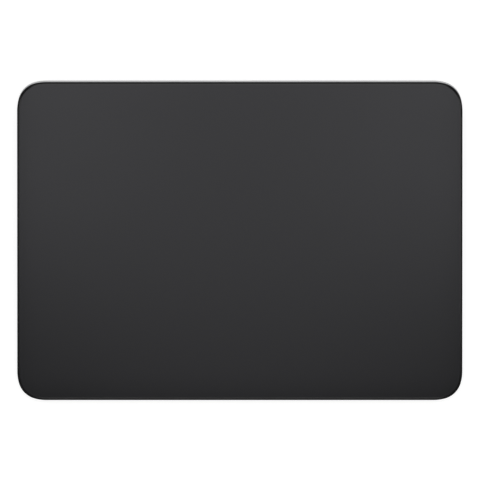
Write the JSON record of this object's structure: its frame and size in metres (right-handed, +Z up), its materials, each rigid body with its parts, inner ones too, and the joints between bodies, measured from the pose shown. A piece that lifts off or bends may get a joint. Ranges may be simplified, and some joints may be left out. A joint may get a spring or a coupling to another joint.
{
  "type": "desktop trackpad",
  "caption": "Flat wireless desktop trackpad: black satin glass on a silver aluminium wedge, pressed on force beams and moved by a haptic engine, with rear charging port and power switch.",
  "frame": {"origin": "on the desk plane under the feet, at the centre of the footprint", "axes": "+X to the user's right along the long side, +Y to the thick rear edge, +Z up"},
  "size_m": [0.16, 0.115, 0.0109],
  "materials": {
    "anodised_aluminium": "bead-blasted, silver anodised",
    "foot_rubber": "matte",
    "black_glass": "satin, etched, black behind the glass",
    "clear_film": "adhesive film",
    "board_green": "solder mask",
    "plate_steel": "rolled sheet",
    "spring_steel": "ground strip",
    "core_steel": "laminated, varnished",
    "screw_steel": "plated",
    "shield_steel": "tinned sheet",
    "chip_black": "moulded epoxy",
    "capacitor_tan": "fired",
    "contact_gold": "gold plated",
    "coil_copper": "enamelled copper",
    "gauge_film": "polyimide",
    "gel_silicone": "soft gel",
    "cell_pouch": "laminated pouch",
    "carrier_plastic": "moulded",
    "switch_silver": "satin moulding",
    "wiper_plastic": "moulded",
    "mark_green": "printed"
  },
  "bodies": {
    "housing": {"housing": "anodised_aluminium", "foot_front_left": "foot_rubber", "foot_front_right": "foot_rubber", "foot_rear_left": "foot_rubber", "foot_rear_right": "foot_rubber", "beam_screws": "screw_steel", "strain_gauges": "gauge_film", "sensor_beam_front_left": "spring_steel", "sensor_beam_front_right": "spring_steel", "sensor_beam_rear_left": "spring_steel", "sensor_beam_rear_right": "spring_steel", "logic_board": "board_green", "processor_shield": "shield_steel", "processor_chips": "chip_black", "radio_module": "shield_steel", "charger_chip": "chip_black", "board_capacitors": "capacitor_tan", "board_connectors": "chip_black", "board_screws": "screw_steel", "port_shell": "shield_steel", "port_tongue": "chip_black", "port_contacts": "contact_gold", "switch_surround": "switch_silver", "switch_on_mark": "mark_green", "switch_case": "chip_black", "switch_board": "board_green", "switch_cable": "gauge_film", "battery_cell_left": "cell_pouch", "battery_cell_right": "cell_pouch", "battery_adhesive": "clear_film", "battery_guards": "cell_pouch", "battery_cables": "gauge_film", "haptic_bracket": "plate_steel", "haptic_cores": "core_steel", "haptic_coils": "coil_copper", "haptic_screws": "screw_steel", "haptic_cable": "gauge_film", "touch_cable": "gauge_film", "antenna_carrier": "carrier_plastic", "antenna_element": "contact_gold", "antenna_lead": "carrier_plastic"},
    "suspension": {"gel_pads": "gel_silicone"},
    "platen": {"glass_surface": "black_glass", "bond_film": "clear_film", "touch_sensor_board": "board_green", "stiffener_plate": "plate_steel", "touch_controller": "shield_steel", "haptic_armature": "core_steel"},
    "switch": {"switch_knob": "switch_silver", "switch_wiper": "wiper_plastic"}
  },
  "joints": [
    {"name": "surface_press", "type": "slide", "parent": "housing", "child": "suspension", "axis": [0, 0.0524, -0.9986], "range_m": [0, 0.0002], "stiffness_N_per_m": 30000, "deforming": ["sensor_beam_front_left", "sensor_beam_front_right", "sensor_beam_rear_left", "sensor_beam_rear_right", "strain_gauges", "touch_cable"]},
    {"name": "haptic_shift", "type": "slide", "parent": "suspension", "child": "platen", "axis": [1, 0, 0], "range_m": [-0.00015, 0.00015], "stiffness_N_per_m": 20000, "deforming": ["touch_cable"]},
    {"name": "power_switch_slide", "type": "slide", "parent": "housing", "child": "switch", "axis": [1, 0, 0], "range_m": [-0.0024, 0]}
  ]
}
